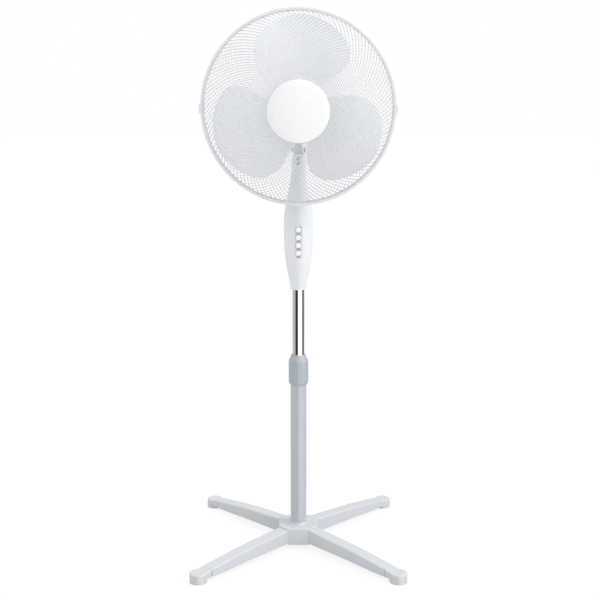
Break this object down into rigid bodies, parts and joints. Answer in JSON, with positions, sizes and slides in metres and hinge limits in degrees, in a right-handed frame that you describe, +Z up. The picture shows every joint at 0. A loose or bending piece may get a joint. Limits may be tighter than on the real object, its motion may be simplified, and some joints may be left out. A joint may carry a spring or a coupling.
{
  "type": "pedestal fan",
  "caption": "Pedestal fan on a cross base, with a height-adjustable post, push buttons, a tilting and oscillating head, and wide blades inside a round wire guard.",
  "frame": {"origin": "on the floor under the middle of the post", "axes": "+Z up, the fan blows towards -Y, +X to the right seen from the front"},
  "size_m": [0.4926, 0.4926, 1.2687],
  "materials": {
    "white_plastic": "smooth white moulded plastic",
    "grey_white_plastic": "pale grey-white moulded plastic",
    "painted_tube": "pale grey-white powder coat",
    "chrome": "bright chrome plate",
    "white_wire": "white coated wire",
    "blade_plastic": "pale cool grey blade plastic",
    "black_steel": "blackened fasteners",
    "zinc_steel": "zinc plated pressed steel",
    "rubber_grey": "grey rubber",
    "copper_winding": "enamelled copper wire",
    "black_plastic": "black moulded plastic",
    "brass_bush": "oil-filled bronze",
    "white_nylon": "natural nylon"
  },
  "bodies": {
    "base": {"leg_bar_lower": "grey_white_plastic", "leg_bar_upper": "grey_white_plastic", "base_hub": "grey_white_plastic", "foot_caps": "grey_white_plastic", "foot_pads": "rubber_grey", "base_washer": "zinc_steel", "base_bolt": "zinc_steel", "lower_tube": "painted_tube", "tube_plug": "black_plastic", "collet": "white_nylon"},
    "collar": {"height_collar": "grey_white_plastic"},
    "post": {"inner_tube": "chrome", "tube_stop": "black_plastic", "tube_sleeve": "white_nylon", "housing_front": "white_plastic", "housing_rear": "white_plastic", "switch_block": "black_plastic", "housing_screws": "black_steel", "tube_screw": "black_steel", "cord_gland": "black_plastic", "neck_fork": "white_plastic", "tilt_bolt": "black_steel"},
    "tilt_knob": {"tilt_knob": "white_plastic"},
    "button_1": {"push_button_1": "white_plastic"},
    "button_2": {"push_button_2": "white_plastic"},
    "button_3": {"push_button_3": "white_plastic"},
    "button_4": {"push_button_4": "white_plastic"},
    "bracket": {"tilt_bracket": "zinc_steel", "swivel_bush": "brass_bush", "link_screw": "black_steel"},
    "link": {"link_arm": "zinc_steel"},
    "head": {"swivel_pin": "zinc_steel", "motor_neck": "zinc_steel", "stator_core": "zinc_steel", "stator_windings": "copper_winding", "motor_front_bell": "zinc_steel", "motor_rear_bell": "zinc_steel", "shaft_bushes": "brass_bush", "motor_bolts": "zinc_steel", "capacitor": "black_plastic", "gear_case": "white_nylon", "gear_case_lid": "white_nylon", "motor_cover_front": "white_plastic", "motor_cover_rear": "white_plastic", "cover_screw": "black_steel", "rear_guard": "white_wire", "front_guard": "white_wire", "guard_band": "white_plastic", "guard_clips": "white_plastic", "guard_nut": "white_plastic", "badge": "white_plastic", "badge_backplate": "white_plastic"},
    "rotor": {"motor_shaft": "zinc_steel", "rotor_core": "zinc_steel", "blade_wheel": "blade_plastic", "drive_pin": "zinc_steel", "blade_nut": "white_plastic"},
    "spindle": {"spindle_gears": "white_nylon"},
    "crank": {"crank": "zinc_steel"},
    "swing_knob": {"swing_knob": "white_plastic"}
  },
  "joints": [
    {"name": "height_slide", "type": "slide", "parent": "base", "child": "post", "axis": [0, 0, 1], "range_m": [-0.15, 0.1]},
    {"name": "collar_turn", "type": "hinge", "parent": "base", "child": "collar", "pos_m": [0, 0, 0.44], "axis": [0, 0, 1], "range_deg": [0, 150]},
    {"name": "tilt_knob_turn", "type": "hinge", "parent": "post", "child": "tilt_knob", "pos_m": [0, 0.02, 0.932], "axis": [0, 1, 0], "range_deg": [-180, 180]},
    {"name": "button_1_press", "type": "slide", "parent": "post", "child": "button_1", "axis": [0, 1, 0], "range_m": [0, 0.0035], "stiffness_N_per_m": 300, "springref_m": -0.001},
    {"name": "button_2_press", "type": "slide", "parent": "post", "child": "button_2", "axis": [0, 1, 0], "range_m": [0, 0.0035], "stiffness_N_per_m": 300, "springref_m": -0.001},
    {"name": "button_3_press", "type": "slide", "parent": "post", "child": "button_3", "axis": [0, 1, 0], "range_m": [0, 0.0035], "stiffness_N_per_m": 300, "springref_m": -0.001},
    {"name": "button_4_press", "type": "slide", "parent": "post", "child": "button_4", "axis": [0, 1, 0], "range_m": [0, 0.0035], "stiffness_N_per_m": 300, "springref_m": -0.001},
    {"name": "head_tilt", "type": "hinge", "parent": "post", "child": "bracket", "pos_m": [0, 0, 0.961], "axis": [1, 0, 0], "range_deg": [-22, 8]},
    {"name": "head_swing", "type": "hinge", "parent": "bracket", "child": "head", "pos_m": [0, -0.00475, 0.99971], "axis": [0, -0.1219, 0.9925], "range_deg": [-40, 40]},
    {"name": "link_turn", "type": "hinge", "parent": "bracket", "child": "link", "pos_m": [0.014, -0.00468, 0.99911], "axis": [0, -0.1219, 0.9925], "range_deg": [-41, 41]},
    {"name": "blade_spin", "type": "hinge", "parent": "head", "child": "rotor", "pos_m": [0, -0.10014, 1.05449], "axis": [0, -0.9925, -0.1219], "continuous": true},
    {"name": "spindle_turn", "type": "hinge", "parent": "head", "child": "spindle", "pos_m": [-0.019, 0.03385, 1.07095], "axis": [0, -0.1219, 0.9925], "continuous": true},
    {"name": "crank_turn", "type": "hinge", "parent": "head", "child": "crank", "pos_m": [-0.0009, 0.04129, 1.0104], "axis": [0, -0.1219, 0.9925], "continuous": true},
    {"name": "knob_pull", "type": "slide", "parent": "head", "child": "swing_knob", "axis": [0, -0.1219, 0.9925], "range_m": [0, 0.007]}
  ],
  "couplings": [
    {"joint": "link_turn", "follows": "head_swing", "ratio": 1},
    {"joint": "spindle_turn", "follows": "blade_spin", "ratio": 0.02},
    {"joint": "crank_turn", "follows": "blade_spin", "ratio": -0.0057143}
  ]
}
